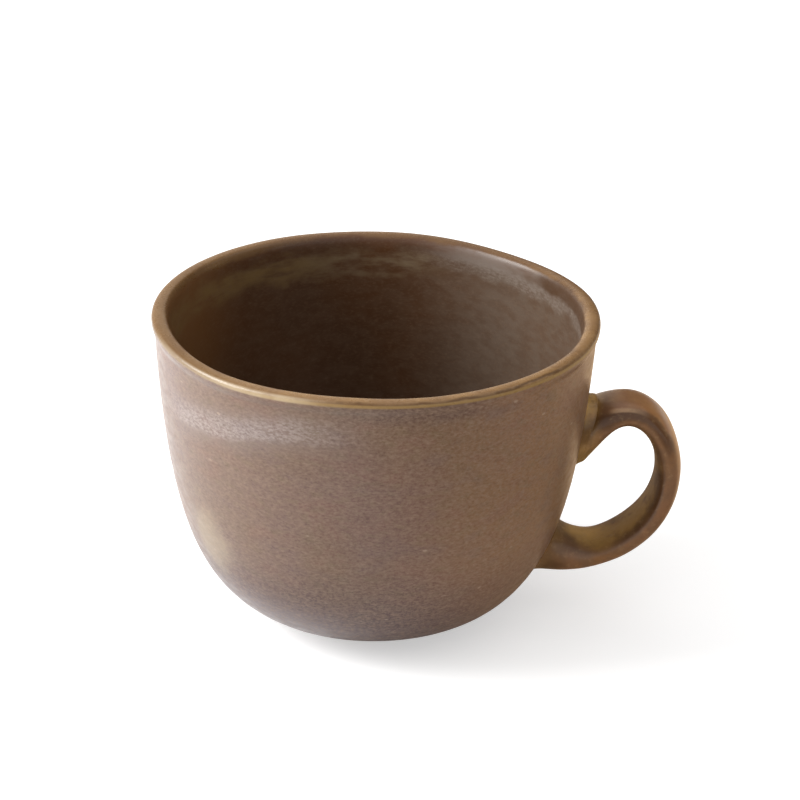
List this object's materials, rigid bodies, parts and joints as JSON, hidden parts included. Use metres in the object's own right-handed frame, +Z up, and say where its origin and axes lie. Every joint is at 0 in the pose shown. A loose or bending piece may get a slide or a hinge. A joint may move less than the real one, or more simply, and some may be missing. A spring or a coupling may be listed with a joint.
{
  "type": "latte cup",
  "caption": "Wide round-bottomed stoneware cup with a rounded lip, a low foot ring and a small looped strap handle set low on one side.",
  "frame": {"origin": "on the bowl's axis, in the plane that the foot ring stands on; the glazed middle of the base is 0.8 mm above it", "axes": "+Z up along the bowl's axis, +X from the axis through the middle of the handle"},
  "size_m": [0.1326, 0.11, 0.08],
  "materials": {
    "bowl_glaze": "satin brown glaze with a mauve bloom, breaking to gold at the lip",
    "handle_glaze": "satin brown glaze",
    "joint_glaze": "olive glaze pooled in the joint",
    "bare_clay": "dry unglazed stoneware"
  },
  "bodies": {
    "root": {"bowl": "bowl_glaze", "foot_ring": "bare_clay", "handle": "handle_glaze", "upper_joining_slip": "joint_glaze", "lower_joining_slip": "joint_glaze"}
  },
  "joints": []
}
